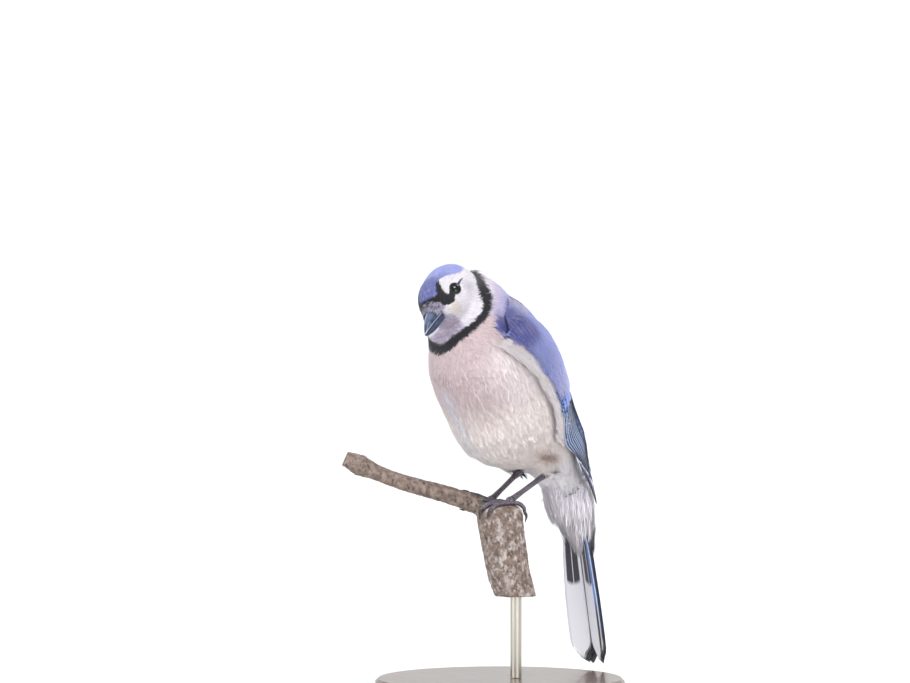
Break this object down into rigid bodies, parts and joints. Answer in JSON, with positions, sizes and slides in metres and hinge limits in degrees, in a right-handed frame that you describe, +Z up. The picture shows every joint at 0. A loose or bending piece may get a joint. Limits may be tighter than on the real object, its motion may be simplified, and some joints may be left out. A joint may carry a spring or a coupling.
{
  "type": "blue jay model on a perch",
  "caption": "Life-size still model of a blue jay, perched and looking down over its breast, on a cut length of branch held by a round display stand.",
  "frame": {"origin": "centre of the underside of the stand's base", "axes": "+Z up, the bird's body faces -Y and its left side is +X"},
  "size_m": [0.14, 0.1565, 0.2485],
  "materials": {
    "plumage": "soft feathers",
    "face_plumage": "soft feathers",
    "wing_feather": "blue feathers with black bars and white tips",
    "tail_feather": "blue feathers with black bars, white-tipped at the sides, pale below",
    "horn": "smooth dark horn",
    "eye": "wet dark brown",
    "leg_scale": "dark scaly skin",
    "bark": "rough bark with lichen",
    "stand_metal": "satin",
    "stand_wood": "dark satin wood"
  },
  "bodies": {
    "root": {"bill_lower": "horn", "bill_upper": "horn", "claw_left_1": "horn", "claw_left_2": "horn", "claw_left_3": "horn", "claw_left_4": "horn", "claw_right_1": "horn", "claw_right_2": "horn", "claw_right_3": "horn", "claw_right_4": "horn", "eye_left": "eye", "eye_right": "eye", "foot_left": "leg_scale", "foot_right": "leg_scale", "head": "face_plumage", "neck": "plumage", "perch": "bark", "stand_base": "stand_wood", "stand_rod": "stand_metal", "tail": "tail_feather", "tarsus_left": "leg_scale", "tarsus_right": "leg_scale", "thigh_left": "plumage", "thigh_right": "plumage", "torso": "plumage", "wing_left": "wing_feather", "wing_right": "wing_feather"}
  },
  "joints": []
}
